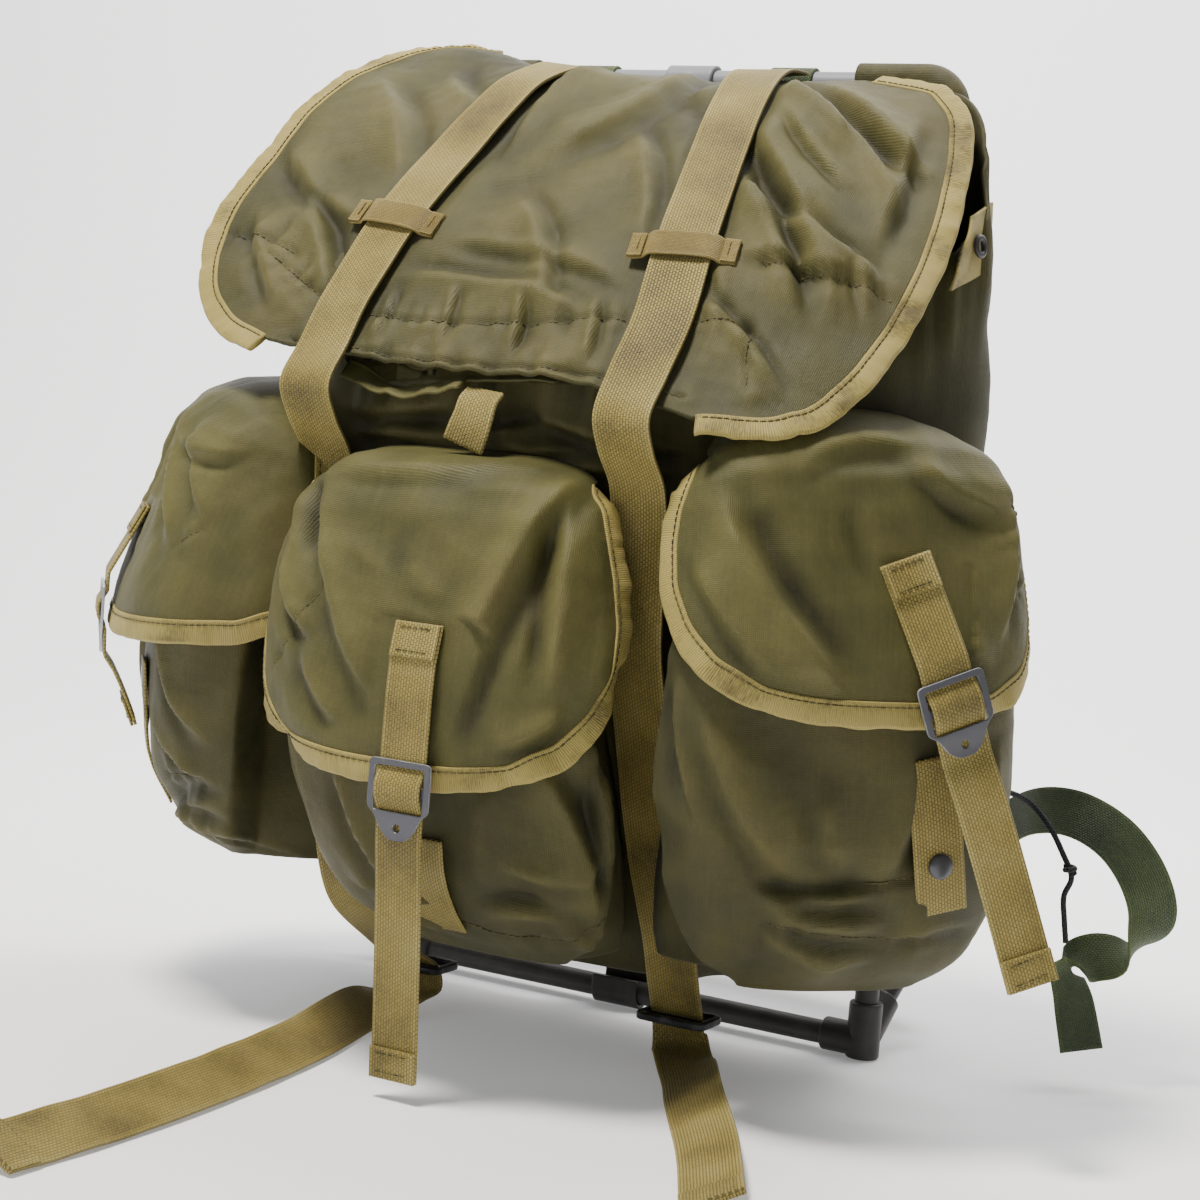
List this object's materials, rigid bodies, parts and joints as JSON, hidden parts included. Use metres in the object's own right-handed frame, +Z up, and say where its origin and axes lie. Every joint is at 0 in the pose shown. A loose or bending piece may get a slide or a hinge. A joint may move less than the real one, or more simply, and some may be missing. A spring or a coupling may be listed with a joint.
{
  "type": "external frame backpack",
  "caption": "Olive drab cloth pack with an overhanging top flap, three flapped outside pockets, long webbing straps and a bent tube frame behind it.",
  "frame": {"origin": "middle of the base of the whole pack's bounding box, free cord left out, at the height of the frame's bottom clamps", "axes": "+Z up along the frame, -Y to the pack's front where the pockets are, +X to the right seen from the front"},
  "size_m": [0.5514, 0.5684, 0.5234],
  "materials": {
    "olive_cloth": "worn olive drab woven nylon, matte with faint sheen",
    "olive_flap": "lighter worn olive drab woven nylon",
    "olive_pad": "padded olive drab woven nylon",
    "tan_tape": "ribbed tan edge tape",
    "tan_webbing": "coarse tan olive webbing, shiny at the folds",
    "green_webbing": "smooth green webbing",
    "black_cord": "braided black cord",
    "frame_grey": "light grey painted tube and strip",
    "frame_black": "black painted tube and clamp",
    "black_plastic": "black moulded buckle",
    "black_metal": "black enamelled ring",
    "gunmetal": "dark enamel worn to bare metal at the edges"
  },
  "bodies": {
    "root": {"frame_loop": "frame_grey", "frame_bottom_bar": "frame_black", "frame_lumbar_bow": "frame_black", "frame_clamp_left": "frame_black", "frame_clamp_right": "frame_black", "frame_centre_strip": "frame_grey", "frame_cross_strip": "frame_grey", "frame_rivet": "frame_grey", "envelope_left": "olive_cloth", "envelope_right": "olive_cloth", "main_bag": "olive_cloth", "top_flap": "olive_cloth", "flap_binding_left": "tan_tape", "flap_binding_right": "tan_tape", "main_strap_left": "tan_webbing", "main_strap_right": "tan_webbing", "keeper_left": "tan_webbing", "keeper_right": "tan_webbing", "map_pocket_sheet": "olive_flap", "map_pocket_tab": "tan_webbing", "side_tab": "tan_tape", "side_eyelet": "black_metal", "pocket_body_centre": "olive_cloth", "pocket_flap_centre": "olive_flap", "pocket_binding_centre": "tan_tape", "pocket_strap_centre": "tan_webbing", "pocket_buckle_centre": "gunmetal", "pocket_anchor_centre": "tan_webbing", "pocket_body_right": "olive_cloth", "pocket_flap_right": "olive_flap", "pocket_binding_right": "tan_tape", "pocket_strap_right": "tan_webbing", "pocket_buckle_right": "gunmetal", "pocket_anchor_right": "tan_webbing", "pocket_body_left": "olive_cloth", "pocket_flap_left": "olive_flap", "pocket_binding_left": "tan_tape", "pocket_strap_left": "tan_webbing", "pocket_buckle_left": "gunmetal", "pocket_anchor_left": "tan_webbing", "bottom_buckle_left": "black_plastic", "bottom_buckle_right": "black_plastic", "pocket_snap": "gunmetal", "pocket_eyelet_upper": "gunmetal", "pocket_eyelet_lower": "gunmetal", "shoulder_pad_left": "olive_pad", "shoulder_loop_left": "green_webbing", "shoulder_lower_left": "green_webbing", "shoulder_pad_right": "olive_pad", "shoulder_loop_right": "green_webbing", "shoulder_lower_right": "green_webbing", "kidney_pad": "olive_pad", "waist_strap_right": "green_webbing", "waist_strap_left": "green_webbing", "release_cord": "black_cord"}
  },
  "joints": []
}
